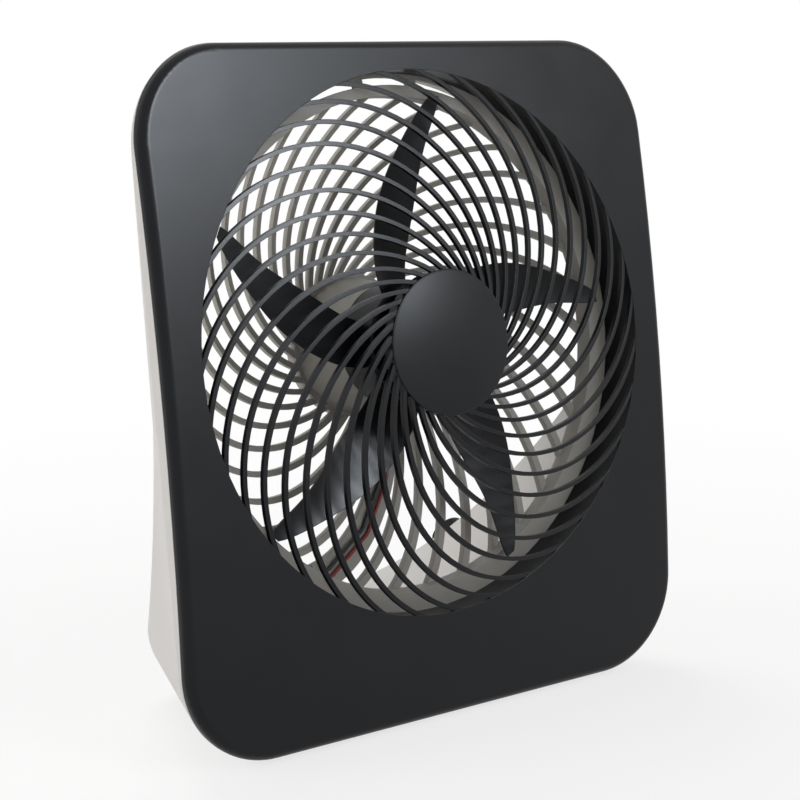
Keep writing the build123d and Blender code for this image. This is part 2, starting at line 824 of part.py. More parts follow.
lip_top = foot_drop + shell_wall / 2
door_back = rear_y
with BuildPart() as battery_door:
    with BuildSketch(Plane.XY.offset(foot_drop)):
        with Locations((0, (door_front_y + door_back) / 2)):
            Rectangle(2 * door_half_width, door_back - door_front_y)
    extrude(amount=shell_wall / 2 + door_clear / 2)
    with BuildSketch(Plane.XY.offset(lip_top + door_clear / 2)):
        with Locations((0, (door_front_y + door_back) / 2)):
            Rectangle(2 * (door_half_width + door_tongue), door_back - door_front_y)
    extrude(amount=shell_wall / 2 - door_clear / 2)
    with BuildSketch(Plane.XY.offset(foot_drop)):
        with GridLocations(0, grip_pitch, 1, grip_count):
            with Locations((0, door_back - grip_inset)):
                SlotOverall(grip_length, grip_pitch / 2)
    extrude(amount=grip_depth, mode=Mode.SUBTRACT)

with BuildPart() as door_opening:
    with BuildSketch(Plane.XY.offset(foot_drop - shell_wall)):
        with Locations((0, (door_front_y + door_back) / 2)):
            Rectangle(2 * (door_half_width + door_clear), door_back - door_front_y + 2 * door_clear)
        with Locations((0, door_back)):
            Rectangle(2 * (door_half_width + door_clear), 4 * shell_wall)
    extrude(amount=3 * shell_wall / 2)
    with BuildSketch(Plane.XY.offset(lip_top)):
        with Locations((0, (door_front_y + door_back) / 2)):
            upper_half = door_half_width + door_tongue + door_clear
            Rectangle(2 * upper_half, door_back - door_front_y + 2 * door_clear)
        with Locations((0, door_back)):
            Rectangle(2 * upper_half, 4 * shell_wall)
    extrude(amount=shell_wall / 2 + door_clear)

# Speed knob, its switch and the adapter inlet on the flared rear face
control_angle = atan2(1, -flare_slope)
control_out = Vector(0, sin(control_angle), cos(control_angle))
control_height = heel_height + control_rise
knob_plane = Plane(
    origin=(control_x, flare_y(control_height, 0), control_height), x_dir=(1, 0, 0), z_dir=control_out
)
jack_plane = Plane(
    origin=(-control_x, flare_y(control_height, 0), control_height), x_dir=(1, 0, 0), z_dir=control_out
)
with BuildPart() as speed_knob:
    with BuildSketch(knob_plane.offset(door_clear)):
        Circle(knob_radius)
    extrude(amount=knob_height, taper=knob_taper)
    fillet(speed_knob.edges().sort_by(Axis(knob_plane.origin, control_out))[-1], knob_round)
    with BuildSketch(knob_plane.offset(knob_height / 2)):
        with PolarLocations(knob_radius + knob_flute, knob_flutes):
            Circle(2 * knob_flute)
    extrude(amount=knob_height, mode=Mode.SUBTRACT)
    with BuildSketch(knob_plane.offset(knob_height)):
        with Locations((0, knob_radius / 2)):
            SlotOverall(pointer_length, pointer_width, rotation=90)
    extrude(amount=knob_height / 2, mode=Mode.SUBTRACT)
    with BuildSketch(knob_plane.offset(door_clear)):
        Circle(knob_stem_radius)
    extrude(amount=-shell_wall - 2 * door_clear - stem_reach)

with BuildPart() as speed_switch:
    with BuildSketch(knob_plane.offset(-shell_wall)):
        RectangleRounded(switch_width, switch_width, switch_corner)
    extrude(amount=-switch_depth)
    with BuildSketch(knob_plane.offset(-shell_wall)):
        Circle(knob_stem_radius + running_fit)
    extrude(amount=-stem_reach - 2 * door_clear, mode=Mode.SUBTRACT)

with BuildPart() as dc_jack:
    with BuildSketch(jack_plane.offset(-jack_depth)):
        Circle(jack_radius)
    extrude(amount=jack_depth)
    with BuildSketch(jack_plane):
        Circle(jack_flange_radius)
    extrude(amount=jack_flange)
    with BuildSketch(jack_plane.offset(jack_flange)):
        Circle(jack_bore)
        Circle(jack_pin, mode=Mode.SUBTRACT)
    extrude(amount=-jack_reach, mode=Mode.SUBTRACT)

# Rubber feet, seated in shallow recesses under the floor
rear_foot_x = door_half_width + door_tongue + foot_gap + foot_radius
foot_places = {
    "front_left": (-front_foot_x, front_foot_y),
    "front_right": (front_foot_x, front_foot_y),
    "rear_left": (-rear_foot_x, rear_foot_y),
    "rear_right": (rear_foot_x, rear_foot_y),
}
feet = {}
for corner, place in foot_places.items():
    with BuildPart() as foot:
        with BuildSketch(Plane.XY):
            with Locations(place):
                Circle(foot_radius)
        extrude(amount=foot_drop + foot_recess)
        chamfer(foot.edges().group_by(Axis.Z)[0], foot_drop / 3)
    feet[corner] = foot.part

# Motor leads along the wide spoke, out under the duct and across the base to the switch
def spoke_place(reach, sideways, lift):
    # A point over the wide spoke's front face
    angle = radians(arc_angle_at(reach, slat_arc_offset, slat_arc_radius))
    turn = radians(slat_phase)
    across = slat_arc_offset + (slat_arc_radius + sideways) * cos(angle)
    up = (slat_arc_radius + sideways) * sin(angle)
    own_reach = min(sqrt(across**2 + up**2), rim_radius - rim_width + 2 * lead_radius)
    along = dome_depth_at(own_reach) + lift / cos(asin(own_reach / dome_radius))
    return fan_point(across * cos(turn) - up * sin(turn), across * sin(turn) + up * cos(turn), along)


def bend_radii(points):
    # Each bend is as large as its two runs allow, up to a limit
    radii = []
    for before, at, after in zip(points, points[1:], points[2:]):
        turn = (at - before).get_angle(after - at)
        shorter = min((at - before).length, (after - at).length)
        radii.append(min(bend_limit, bend_share * shorter / tan(radians(turn / 2))))
    return radii


spoke_reaches = (40.0, 66.0, 90.0, 114.0, 121.0, 136.0)
cap_reach = slat_arc_radius - slat_arc_offset + 2 * shaft_radius
base_route = [(-92.0, -8.0, 60.0), (-58.0, 38.0, 47.0), (-34.0, 46.0, 27.0)]
base_route += [(48.0, 45.0, 27.0), (60.0, 40.0, 42.0)]
switch_middle = knob_plane.origin - control_out * (shell_wall + switch_depth / 2)
switch_end = Vector(control_x - switch_width / 2 - lead_radius, switch_middle.Y, switch_middle.Z)
spoke_lift = lead_lift + lead_radius
spoke_ends = [spoke_place(reach, 0, spoke_lift) for reach in spoke_reaches[-2:]]
base_points = spoke_ends + [Vector(*place) for place in base_route] + [switch_end]
leads = {}
for name, side in (("red", 1), ("black", -1)):
    aside = side * lead_spacing / 2
    cup_lift = can_back - lead_radius - lead_lift - dome_depth_at(cap_reach)
    points = [spoke_place(cap_reach, aside, cup_lift)]
    points += [spoke_place(reach, aside, spoke_lift) for reach in spoke_reaches]
    across_pair = (points[-1] - spoke_ends[-1]).normalized()
    for before, at, after in zip(base_points[1:], base_points[2:], base_points[3:]):
        heading = (after - before).normalized()
        across_pair = (across_pair - heading * across_pair.dot(heading)).normalized()
        points.append(at + across_pair * abs(aside))
    across_pair = Vector(0, across_pair.Y, across_pair.Z).normalized()
    points.append(switch_end + across_pair * abs(aside))
    radii = bend_radii(points)
    print(name, "lead bends", [round(radius, 1) for radius in radii])
    with BuildPart() as lead:
        with BuildLine() as route:
            FilletPolyline(*points, radius=radii)
        with BuildSketch(Plane(origin=route.line @ 0, z_dir=route.line % 0)):
            Circle(lead_radius)
        sweep()
    length = sum(edge.length for edge in route.edges())
    print(name, "lead volume share", round(lead.part.volume / (pi * lead_radius**2 * length), 4))
    leads[name] = lead.part

# Passages for the leads through the cup wall, the rim and the duct
passages = [
    (cup_back_radius, cup_passage, hub_front - cup_wall, can_back),
    ((rim_radius + duct_radius) / 2, rim_passage, flange_back - passage_drop, flange_back - seam_gap),
]
with BuildPart() as lead_passages:
    for reach, length, low, high in passages:
        middle = spoke_place(reach, 0, 0)
        ahead = spoke_place(reach + lead_spacing, 0, 0) - middle
        ahead -= axis_dir * ahead.dot(axis_dir)
        start = middle + axis_dir * (low - (middle - fan_origin).dot(axis_dir))
        with BuildSketch(Plane(origin=start, x_dir=ahead, z_dir=axis_dir)):
            Rectangle(length, lead_slot)
        extrude(amount=high - low)

with BuildPart() as cup_notched:
    add(rear_grille.part)
    add(lead_passages.part, mode=Mode.SUBTRACT)

# Rear housing with its screw tubes, recesses and passages
with BuildPart() as screw_tubes:
    with BuildSketch(Plane.XZ.offset(-screw_mate_y - seam_gap)):
        with Locations(*[(side * screw_x, screw_z) for side in (-1, 1)]):
            Circle(screw_tube_radius)
    extrude(amount=-body_depth)
    add(housing_outside, mode=Mode.INTERSECT)

with BuildPart() as rear_housing:
    add(housing_outside)
    add(housing_inside, mode=Mode.SUBTRACT)
    add(duct.part)
    add(screw_tubes.part)
    with BuildSketch(fan_plane.offset(duct_front)):
        Circle(duct_radius)
    extrude(amount=-2 * body_depth, mode=Mode.SUBTRACT)
    for place in [(side * screw_x, screw_z) for side in (-1, 1)]:
        with BuildSketch(Plane.XZ.offset(-screw_mate_y)):
            with Locations(place):
                Circle(screw_radius + seam_gap)
        extrude(amount=-body_depth, mode=Mode.SUBTRACT)
        with BuildSketch(Plane.XZ.offset(-screw_mate_y - seam_gap - screw_floor)):
            with Locations(place):
                Circle(screw_head_radius + seam_gap)
        extrude(amount=-body_depth, mode=Mode.SUBTRACT)
    add(door_opening.part, mode=Mode.SUBTRACT)
    add(lead_passages.part, mode=Mode.SUBTRACT)
    with BuildSketch(knob_plane.offset(shell_wall)):
        Circle(knob_stem_radius + door_clear)
    extrude(amount=-2 * shell_wall, mode=Mode.SUBTRACT)
    with BuildSketch(jack_plane.offset(shell_wall)):
        Circle(jack_radius + press_clear)
    extrude(amount=-2 * shell_wall, mode=Mode.SUBTRACT)
    with BuildSketch(Plane.XY.offset(foot_drop)):
        with Locations(*foot_places.values()):
            Circle(foot_radius + press_clear)
    extrude(amount=foot_recess, mode=Mode.SUBTRACT)

with BuildPart() as panel_screws:
    head_y = screw_mate_y + seam_gap + screw_floor
    for side in (-1, 1):
        with BuildSketch(Plane.XZ.offset(-head_y)):
            with Locations((side * screw_x, screw_z)):
                Circle(screw_radius)
        extrude(amount=screw_floor + seam_gap + screw_grip)
        with BuildSketch(Plane.XZ.offset(-head_y)):
            with Locations((side * screw_x, screw_z)):
                Circle(screw_head_radius)
        extrude(amount=-screw_head_height)

# Write every piece
pieces = {
    "front_panel": front_panel.part,
    "rear_housing": rear_housing.part,
    "rear_grille": cup_notched.part,
    "motor_cover": motor_cover.part,
    "impeller": impeller.part,
    "impeller_clip": impeller_clip.part,
    "motor_shaft": motor_shaft.part,
    "motor_can": motor_can.part,
    "motor_end_cap": motor_end_cap.part,
    "motor_bushings": motor_bushings.part,
    "motor_magnets": motor_magnets.part,
    "motor_brushes": motor_brushes.part,
    "motor_screws": motor_screws.part,
    "armature_core": armature_core.part,
    "armature_winding": armature_winding.part,
    "commutator": commutator.part,
    "motor_lead_red": leads["red"],
    "motor_lead_black": leads["black"],
    "battery_cradle": battery_cradle.part,
    "battery_contacts": battery_contacts.part,
    "battery_door": battery_door.part,
    "speed_knob": speed_knob.part,
    "speed_switch": speed_switch.part,
    "dc_jack": dc_jack.part,
    "panel_screws": panel_screws.part,
}
for number, solid in enumerate(cells, start=1):
    pieces[f"battery_cell_{number}"] = solid
for corner, solid in feet.items():
    pieces[f"foot_{corner}"] = solid
for name, piece in pieces.items():
    keep(piece, name)
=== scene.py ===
import json
import math
import bpy
from mathutils import Matrix, Vector

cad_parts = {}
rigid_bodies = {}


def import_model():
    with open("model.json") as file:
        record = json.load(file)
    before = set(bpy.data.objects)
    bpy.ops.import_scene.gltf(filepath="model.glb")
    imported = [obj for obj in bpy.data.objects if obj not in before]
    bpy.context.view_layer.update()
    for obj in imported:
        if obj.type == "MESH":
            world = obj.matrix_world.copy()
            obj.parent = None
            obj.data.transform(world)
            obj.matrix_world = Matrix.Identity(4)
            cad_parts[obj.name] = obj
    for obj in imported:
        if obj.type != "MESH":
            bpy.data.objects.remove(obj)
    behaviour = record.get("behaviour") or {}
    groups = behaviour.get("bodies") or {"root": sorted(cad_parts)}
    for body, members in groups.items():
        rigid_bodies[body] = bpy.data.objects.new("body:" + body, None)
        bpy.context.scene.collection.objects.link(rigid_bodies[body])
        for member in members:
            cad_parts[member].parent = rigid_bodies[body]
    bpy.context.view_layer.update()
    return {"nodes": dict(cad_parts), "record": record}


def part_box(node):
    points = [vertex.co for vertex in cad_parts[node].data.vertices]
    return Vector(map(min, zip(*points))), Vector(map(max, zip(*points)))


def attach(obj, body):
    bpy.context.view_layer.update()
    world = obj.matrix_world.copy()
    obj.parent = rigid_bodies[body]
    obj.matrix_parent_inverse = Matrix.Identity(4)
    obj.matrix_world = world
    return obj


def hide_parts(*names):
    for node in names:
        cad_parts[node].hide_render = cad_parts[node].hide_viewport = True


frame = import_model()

cadNodes = frame["nodes"]
joints = {joint["name"]: joint for joint in frame["record"]["behaviour"]["joints"]}
rightward = Vector((1.0, 0.0, 0.0))
rearward = Vector((0.0, 1.0, 0.0))
scene = bpy.context.scene
scene.view_settings.view_transform = "Standard"
print("frame loaded:", len(cadNodes), "nodes")


# Small helpers for building a material by hand
def newMaterial(name):
    material = bpy.data.materials.new(name)
    material.use_nodes = True
    shader = material.node_tree.nodes["Principled BSDF"]
    return material, material.node_tree, shader


def addNode(tree, kind, **inputs):
    node = tree.nodes.new(kind)
    for key, value in inputs.items():
        node.inputs[key].default_value = value
    return node


def calculate(tree, operation, first, second):
    node = tree.nodes.new("ShaderNodeMath")
    node.operation = operation
    tree.links.new(first, node.inputs[0])
    tree.links.new(second, node.inputs[1])
    return node.outputs["Value"]


def spread(tree, source, low, high, start=0.0, end=1.0):
    # Stretches a value between start and end to lie between low and high
    limits = {"From Min": start, "From Max": end, "To Min": low, "To Max": high}
    node = addNode(tree, "ShaderNodeMapRange", **limits)
    tree.links.new(source, node.inputs["Value"])
    return node.outputs["Result"]


def noise(tree, coords, scale, detail=2.0, rough=0.5):
    node = addNode(tree, "ShaderNodeTexNoise", Scale=scale, Detail=detail, Roughness=rough)
    tree.links.new(coords, node.inputs["Vector"])
    return node.outputs["Fac"]


def objectCoords(tree):
    return tree.nodes.new("ShaderNodeTexCoord").outputs["Object"]


def toneRamp(tree, source, look):
    # Runs from a finish's shade to its tint
    node = tree.nodes.new("ShaderNodeValToRGB")
    tones = (look["shade"], look["tint"])
    for element, place, tone in zip(node.color_ramp.elements, look["toneStops"], tones):
        element.position = place
        element.color = (*tone, 1.0)
    tree.links.new(source, node.inputs["Fac"])
    return node.outputs["Color"]


def mixColour(tree, share, first, second):
    node = tree.nodes.new("ShaderNodeMix")
    node.data_type = "RGBA"
    tree.links.new(share, node.inputs["Factor"])
    tree.links.new(first, node.inputs["A"])
    node.inputs["B"].default_value = (*second, 1.0)
    return node.outputs["Result"]


def bumpOn(tree, height, normal, strength, depth):
    bump = addNode(tree, "ShaderNodeBump", Strength=strength, Distance=depth)
    tree.links.new(height, bump.inputs["Height"])
    tree.links.new(normal, bump.inputs["Normal"])
    return bump.outputs["Normal"]


edgeShading = {"samples": 6, "fade": (0.75, 0.995)}


def roundedNormal(tree, radius):
    # Rounds the shading at sharp edges
    bevel = addNode(tree, "ShaderNodeBevel", Radius=radius)
    bevel.samples = edgeShading["samples"]
    return bevel.outputs["Normal"]


def edgeMask(tree, rounded):
    # 1 on a sharp edge, 0 away from it
    geometry = tree.nodes.new("ShaderNodeNewGeometry")
    dot = tree.nodes.new("ShaderNodeVectorMath")
    dot.operation = "DOT_PRODUCT"
    tree.links.new(rounded, dot.inputs[0])
    tree.links.new(geometry.outputs["Normal"], dot.inputs[1])
    return spread(tree, dot.outputs["Value"], 1.0, 0.0, *edgeShading["fade"])


# Moulded plastic: spark-eroded grain, slow tone drift, handling marks, and sharp edges painted lighter as a
# painted highlight
def mouldedPlastic(name, look):
    material, tree, shader = newMaterial(name)
    coords = objectCoords(tree)
    grain = noise(tree, coords, **look["grain"])
    drift = noise(tree, coords, **look["drift"])
    smudge = noise(tree, coords, **look["smudge"])
    normal = roundedNormal(tree, look["edgeRadius"])
    # Sharp edges get a lighter colour painted on: a painted highlight
    plasticHighlightShare = spread(tree, edgeMask(tree, normal), 0.0, look["edgeHighlightShare"])
    colour = mixColour(tree, plasticHighlightShare, toneRamp(tree, drift, look), look["edgeHighlightColour"])
    tree.links.new(colour, shader.inputs["Base Color"])
    roughness = spread(tree, smudge, *look["roughness"], *look["smudgeRange"])
    tree.links.new(roughness, shader.inputs["Roughness"])
    textured = bumpOn(tree, grain, normal, look["grainStrength"], look["grainDepth"])
    tree.links.new(textured, shader.inputs["Normal"])
    shader.inputs["Specular IOR Level"].default_value = look["specular"]
    return material


charcoalLook = {
    "shade": (0.0044, 0.0049, 0.0062),
    "tint": (0.0062, 0.0069, 0.0084),
    "toneStops": (0.3, 0.7),
    # Lighter colour and its share painted on sharp edges as a painted highlight
    "edgeHighlightColour": (0.05, 0.052, 0.056),
    "edgeHighlightShare": 0.5,
    "edgeRadius": 0.0004,
    "grain": {"scale": 2600.0, "detail": 3.0, "rough": 0.6},
    "grainStrength": 0.35,
    "grainDepth": 0.00012,
    "drift": {"scale": 9.0, "detail": 2.0},
    "smudge": {"scale": 38.0, "detail": 6.0, "rough": 0.55},
    "smudgeRange": (0.25, 0.75),
    "roughness": (0.31, 0.37),
    "specular": 0.19,
}
paleGreyLook = dict(
    charcoalLook,
    shade=(0.565, 0.550, 0.532),
    tint=(0.610, 0.596, 0.578),
    edgeHighlightColour=(0.68, 0.67, 0.65),
    roughness=(0.48, 0.6),
    grainStrength=0.25,
    specular=0.4,
)
innerGreyLook = dict(
    paleGreyLook,
    shade=(0.300, 0.288, 0.262),
    tint=(0.345, 0.332, 0.304),
    edgeHighlightColour=(0.42, 0.40, 0.37),
)
blackLook = dict(
    charcoalLook,
    shade=(0.0036, 0.0039, 0.0048),
    tint=(0.0056, 0.0060, 0.0072),
    edgeHighlightColour=(0.04, 0.041, 0.044),
    roughness=(0.30, 0.38),
    grainStrength=0.12,
    specular=0.2,
)


# Plated or drawn metal with fine lines along one direction, and sharp edges painted lighter as a painted
# highlight
def drawnMetal(name, look):
    material, tree, shader = newMaterial(name)
    coords = objectCoords(tree)
    stretch = addNode(tree, "ShaderNodeMapping", Scale=look["lineScale"])
    tree.links.new(coords, stretch.inputs["Vector"])
    lines = noise(tree, stretch.outputs["Vector"], **look["lines"])
    stain = noise(tree, coords, **look["stain"])
    normal = roundedNormal(tree, look["edgeRadius"])
    # Sharp edges get a lighter colour painted on: a painted highlight
    metalHighlightShare = spread(tree, edgeMask(tree, normal), 0.0, look["edgeShine"])
    colour = mixColour(tree, metalHighlightShare, toneRamp(tree, stain, look), look["edgeHighlightColour"])
    tree.links.new(colour, shader.inputs["Base Color"])
    roughness = spread(tree, lines, *look["roughness"], *look["lineRange"])
    tree.links.new(roughness, shader.inputs["Roughness"])
    lined = bumpOn(tree, lines, normal, look["lineStrength"], look["lineDepth"])
    tree.links.new(lined, shader.inputs["Normal"])
    shader.inputs["Metallic"].default_value = look["metallic"]
    return material


steelLook = {
    "shade": (0.47, 0.47, 0.48),
    "tint": (0.60, 0.60, 0.60),
    "toneStops": (0.3, 0.7),
    # Lighter colour and its share painted on sharp edges as a painted highlight
    "edgeHighlightColour": (0.75, 0.75, 0.75),
    "edgeShine": 0.6,
    "edgeRadius": 0.0002,
    "lineScale": (300.0, 4000.0, 4000.0),
    "lines": {"scale": 1.0, "detail": 3.0, "rough": 0.6},
    "lineRange": (0.3, 0.7),
    "lineStrength": 0.15,
    "lineDepth": 0.00005,
    "stain": {"scale": 220.0, "detail": 4.0},
    "roughness": (0.22, 0.4),
    "metallic": 1.0,
}
ironLook = dict(
    steelLook,
    shade=(0.07, 0.07, 0.075),
    tint=(0.13, 0.13, 0.135),
    edgeHighlightColour=(0.2, 0.2, 0.2),
    roughness=(0.45, 0.65),
    metallic=0.8,
    lineScale=(2500.0, 2500.0, 900.0),
)
brassLook = dict(
    steelLook,
    shade=(0.60, 0.42, 0.17),
    tint=(0.74, 0.55, 0.26),
    edgeHighlightColour=(0.85, 0.68, 0.38),
)
copperLook = dict(
    steelLook,
    shade=(0.50, 0.20, 0.08),
    tint=(0.68, 0.31, 0.15),
    edgeHighlightColour=(0.8, 0.45, 0.26),
    roughness=(0.25, 0.45),
    lineScale=(900.0, 900.0, 6000.0),
)


# Rubber, wire covering and pressed carbon: matte, with pores and a dusty bloom
def matteSkin(name, look):
    material, tree, shader = newMaterial(name)
    coords = objectCoords(tree)
    pores = noise(tree, coords, **look["pores"])
    bloom = noise(tree, coords, **look["bloom"])
    tree.links.new(toneRamp(tree, bloom, look), shader.inputs["Base Color"])
    roughness = spread(tree, bloom, *look["roughness"], *look["bloomRange"])
    tree.links.new(roughness, shader.inputs["Roughness"])
    normal = roundedNormal(tree, look["edgeRadius"])
    porous = bumpOn(tree, pores, normal, look["poreStrength"], look["poreDepth"])
    tree.links.new(porous, shader.inputs["Normal"])
    shader.inputs["Specular IOR Level"].default_value = look["specular"]
    return material


rubberLook = {
    "shade": (0.014, 0.014, 0.015),
    "tint": (0.026, 0.026, 0.027),
    "toneStops": (0.35, 0.7),
    "edgeRadius": 0.0003,
    "pores": {"scale": 1800.0, "detail": 5.0, "rough": 0.65},
    "poreStrength": 0.3,
    "poreDepth": 0.0001,
    "bloom": {"scale": 260.0, "detail": 3.0},
    "bloomRange": (0.25, 0.75),
    "roughness": (0.62, 0.82),
    "specular": 0.35,
}
redWireLook = dict(
    rubberLook,
    shade=(0.17, 0.012, 0.010),
    tint=(0.26, 0.022, 0.018),
    roughness=(0.35, 0.5),
    poreStrength=0.08,
    specular=0.5,
)
blackWireLook = dict(redWireLook, shade=(0.010, 0.010, 0.011), tint=(0.018, 0.018, 0.019))
carbonLook = dict(
    rubberLook,
    shade=(0.012, 0.012, 0.013),
    tint=(0.03, 0.03, 0.031),
    roughness=(0.5, 0.7),
)


# Cell jacket: dark lacquered sleeve with a plain pale band at both ends of each cell
def cellJacket(name, look):
    material, tree, shader = newMaterial(name)
    coords = objectCoords(tree)
    split = tree.nodes.new("ShaderNodeSeparateXYZ")
    tree.links.new(coords, split.inputs["Vector"])
    fromMiddle = tree.nodes.new("ShaderNodeMath")
    fromMiddle.operation = "PINGPONG"
    fromMiddle.inputs[1].default_value = look["halfCell"]
    tree.links.new(split.outputs["X"], fromMiddle.inputs[0])
    band = spread(tree, fromMiddle.outputs["Value"], 0.0, 1.0, *look["bandEdge"])
    haze = noise(tree, coords, **look["haze"])
    colour = mixColour(tree, band, toneRamp(tree, haze, look), look["bandColour"])
    tree.links.new(colour, shader.inputs["Base Color"])
    tree.links.new(spread(tree, haze, *look["roughness"]), shader.inputs["Roughness"])
    shader.inputs["Metallic"].default_value = look["metallic"]
    shader.inputs["Coat Weight"].default_value = look["coat"]
    return material


cellLook = {
    "shade": (0.05, 0.055, 0.065),
    "tint": (0.09, 0.095, 0.11),
    "toneStops": (0.3, 0.7),
    "bandColour": (0.50, 0.50, 0.51),
    "halfCell": 0.03075,
    "bandEdge": (0.0245, 0.0247),
    "haze": {"scale": 90.0, "detail": 3.0},
    "roughness": (0.25, 0.38),
    "metallic": 0.5,
    "coat": 0.4,
}

materialOf = {
    "charcoal_plastic": mouldedPlastic("charcoalPlastic", charcoalLook),
    "grey_plastic": mouldedPlastic("paleGreyPlastic", paleGreyLook),
    "inner_grey_plastic": mouldedPlastic("innerGreyPlastic", innerGreyLook),
    "black_plastic": mouldedPlastic("blackPlastic", blackLook),
    "steel": drawnMetal("platedSteel", steelLook),
    "iron": drawnMetal("darkIron", ironLook),
    "brass": drawnMetal("brightBrass", brassLook),
    "copper": drawnMetal("enamelledCopper", copperLook),
    "carbon": matteSkin("pressedCarbon", carbonLook),
    "red_insulation": matteSkin("redWireSkin", redWireLook),
    "black_insulation": matteSkin("blackWireSkin", blackWireLook),
    "cell_jacket": cellJacket("cellJacket", cellLook),
    "foot_rubber": matteSkin("footRubber", rubberLook),
}


def dress(piece, slotName):
    piece.data.materials.clear()
    piece.data.materials.append(materialOf[slotName])


slotOf = {part["node"]: part["material_slot"] for part in frame["record"]["subparts"]}
for nodeName, slotName in slotOf.items():
    dress(cadNodes[nodeName], slotName)
print("materials set:", len(materialOf))


# Helpers for modelled pieces
modelling = {"smoothBelow": math.radians(35), "squarely": 0.9}


def dropSelection():
    bpy.ops.object.select_all(action="DESELECT")


def makeActive(piece):
    dropSelection()
    piece.select_set(True)
    bpy.context.view_layer.objects.active = piece


def turnedTo(direction):
    return Vector(direction).to_track_quat("Z", "Y").to_euler()


def addCylinder(sides, radius, depth, place, turn=(0.0, 0.0, 0.0)):
    dropSelection()
    bpy.ops.mesh.primitive_cylinder_add(
        vertices=sides, radius=radius, depth=depth, location=place, rotation=turn
    )
    return bpy.context.object


def addBlock(size, place, turn):
    dropSelection()
    bpy.ops.mesh.primitive_cube_add(size=1.0, location=place, rotation=turn)
    block = bpy.context.object
    block.scale = size
    return block


def joined(pieces):
    dropSelection()
    for piece in pieces:
        piece.select_set(True)
    bpy.context.view_layer.objects.active = pieces[0]
    bpy.ops.object.join()
    return bpy.context.object


def settle(piece, name, body, slotName):
    # Bakes place and turn into the mesh, then hands the piece to its body and finish
    piece.name = name
    makeActive(piece)
    bpy.ops.object.transform_apply(location=True, rotation=True, scale=True)
    bpy.ops.object.shade_smooth_by_angle(angle=modelling["smoothBelow"])
    dress(piece, slotName)
    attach(piece, body)


def pickFaces(piece, test):
    # Leaves only the faces that pass the test selected, in edit mode
    bpy.ops.object.mode_set(mode="EDIT")
    bpy.ops.mesh.select_mode(type="FACE")
    bpy.ops.mesh.select_all(action="DESELECT")
    bpy.ops.object.mode_set(mode="OBJECT")
    for face in piece.data.polygons:
        face.select = test(face)
    bpy.ops.object.mode_set(mode="EDIT")


def facesOut(face):
    return face.normal.z > modelling["squarely"]


def facesDown(face):
    return face.normal.z < -modelling["squarely"]


def roundRim(piece, test, radius, steps):
    # Bevels the edges round the faces that pass the test
    pickFaces(piece, test)
    bpy.ops.mesh.bevel(offset=radius, segments=steps, affect="EDGES")
    bpy.ops.object.mode_set(mode="OBJECT")


# Crowned face of the grille's hub disc
hubCap = {"radius": 0.0332, "front": 0.01555, "skin": 0.0004, "crown": 0.0026, "rings": 9, "sides": 96}
fanPlace = Vector(joints["fan_spin"]["pos_m"])
fanAxis = Vector(joints["fan_spin"]["axis"])
capPlace = fanPlace + fanAxis * hubCap["front"]
cap = addCylinder(hubCap["sides"], hubCap["radius"], hubCap["skin"], capPlace, turnedTo(fanAxis))
pickFaces(cap, facesOut)
ringSteps = hubCap["rings"] + 1
for ring in range(hubCap["rings"]):
    outer = 1 - ring / ringSteps
    inner = 1 - (ring + 1) / ringSteps
    rise = hubCap["crown"] * (outer**2 - inner**2)
    bpy.ops.mesh.inset(thickness=hubCap["radius"] / ringSteps, depth=rise)
bpy.ops.object.mode_set(mode="OBJECT")
settle(cap, "hubCap", "housing", "charcoal_plastic")
print("hub cap made")

# Front moulding: a merged copy whose ribs are drawn forward at the back, so that they read as thin blades
grille = {
    "rise": 0.0159,
    "acrossArc": 0.69513,
    "upArc": 0.48023,
    "ribDepth": 0.0050,
    "slimmer": 0.0026,
    "slack": 0.00025,
    "reach": (0.0337, 0.1272),
    "mergeGap": 0.000002,
}
upAxis = fanAxis.cross(rightward)


def mergedCopy(nodeName, mergeGap):
    makeActive(cadNodes[nodeName])
    bpy.ops.object.duplicate()
    piece = bpy.context.object
    bpy.ops.object.parent_clear(type="CLEAR_KEEP_TRANSFORM")
    bpy.ops.mesh.customdata_custom_splitnormals_clear()
    bpy.ops.object.mode_set(mode="EDIT")
    bpy.ops.mesh.select_mode(type="VERT")
    bpy.ops.mesh.select_all(action="SELECT")
    bpy.ops.mesh.remove_doubles(threshold=mergeGap)
    bpy.ops.mesh.select_all(action="DESELECT")
    bpy.ops.object.mode_set(mode="OBJECT")
    return piece


def weighNormals(piece):
    bpy.ops.object.modifier_add(type="WEIGHTED_NORMAL")
    piece.modifiers[-1].keep_sharp = True
    bpy.ops.object.modifier_apply(modifier=piece.modifiers[-1].name)


def fanParts(point):
    # A point's sideways, upward and forward place about the fan axis, and its reach from it
    offset = point - fanPlace
    forward = offset.dot(fanAxis)
    return offset.x, offset.dot(upAxis), forward, (offset - fanAxis * forward).length


def onRibBack(point):
    sideways, upward, forward, reach = fanParts(point)
    if not grille["reach"][0] < reach < grille["reach"][1]:
        return False
    rolled = grille["acrossArc"] - grille["upArc"] + math.sqrt(grille["upArc"] ** 2 - upward**2)
    front = grille["rise"] - grille["acrossArc"] + math.sqrt(rolled**2 - sideways**2)
    return abs(forward - front + grille["ribDepth"]) < grille["slack"]


panel = mergedCopy("front_panel", grille["mergeGap"])
moved = 0
for corner in panel.data.vertices:
    corner.select = onRibBack(corner.co)
    moved += corner.select
bpy.ops.object.mode_set(mode="EDIT")
bpy.ops.transform.translate(value=fanAxis * grille["slimmer"])
bpy.ops.object.mode_set(mode="OBJECT")
settle(panel, "frontPanel", "housing", "charcoal_plastic")
weighNormals(panel)
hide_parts("front_panel")
print("front panel made,", moved, "rib points drawn forward")

